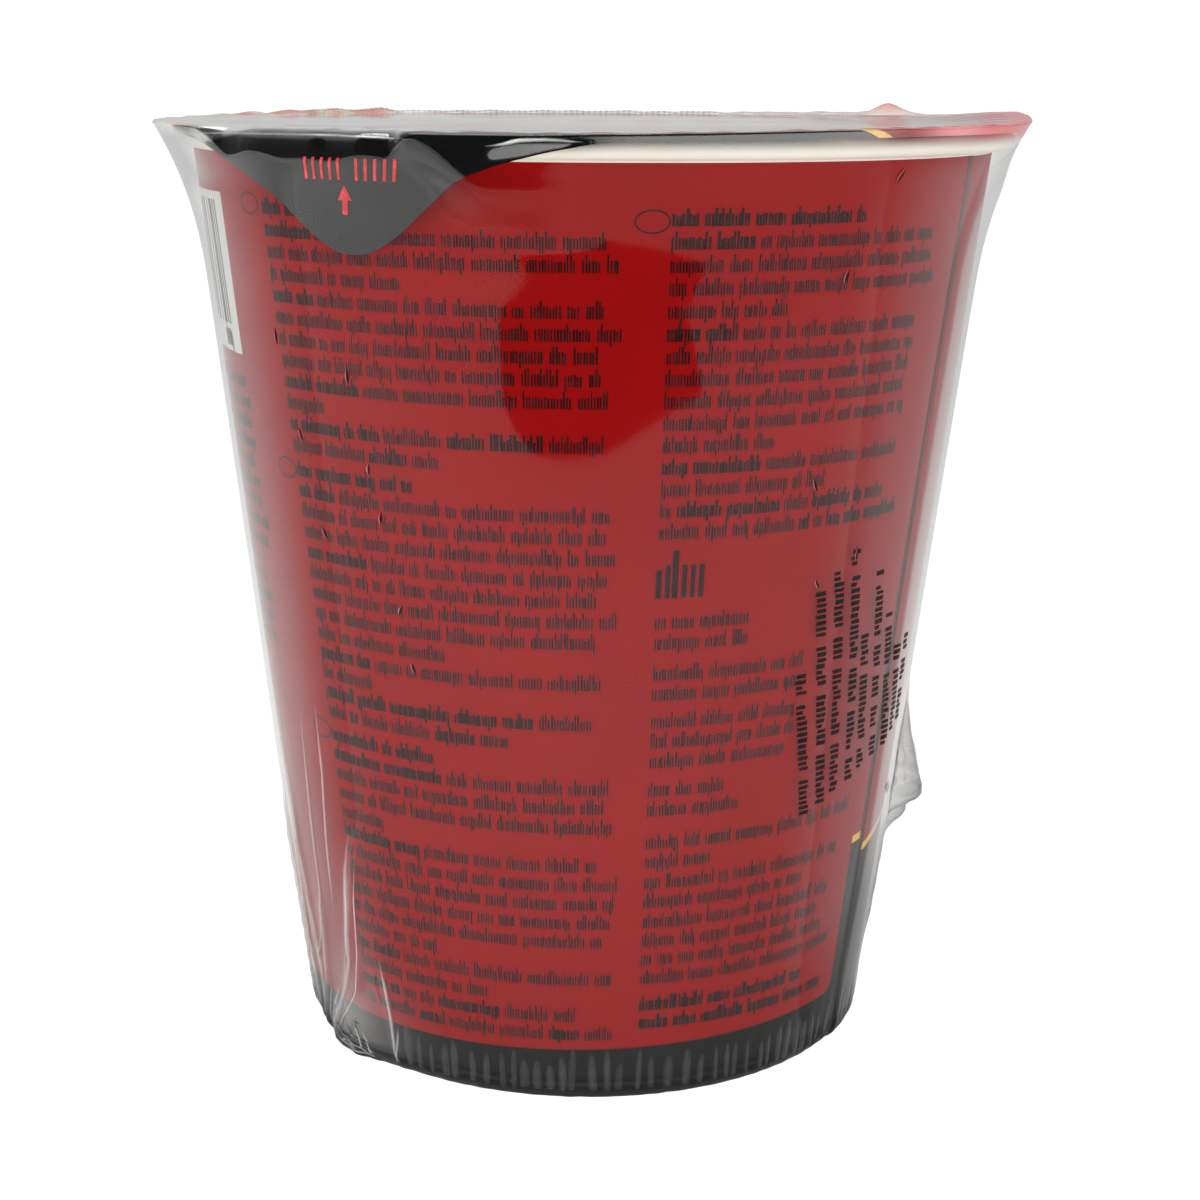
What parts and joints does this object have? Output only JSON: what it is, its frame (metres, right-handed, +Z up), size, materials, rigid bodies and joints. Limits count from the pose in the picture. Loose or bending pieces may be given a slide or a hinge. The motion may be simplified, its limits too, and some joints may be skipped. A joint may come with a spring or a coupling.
{
  "type": "instant noodle cup",
  "caption": "Shut tapered paper noodle cup with a rolled rim, a sealed lid whose pull tab is folded down over the rim, and a clear shrink film round the whole pack.",
  "frame": {"origin": "middle of the base, on the surface that the cup stands on", "axes": "+Z up along the cup's axis, -Y towards the side that the picture shows, +X to the right of that view"},
  "size_m": [0.0964, 0.0966, 0.104],
  "materials": {
    "cup_paper": "printed and lacquered paper board",
    "lid_paper": "glossy printed paper and foil laminate",
    "clear_film": "clear glossy shrink film"
  },
  "bodies": {
    "root": {"cup": "cup_paper", "lid": "lid_paper", "film": "clear_film"}
  },
  "joints": []
}
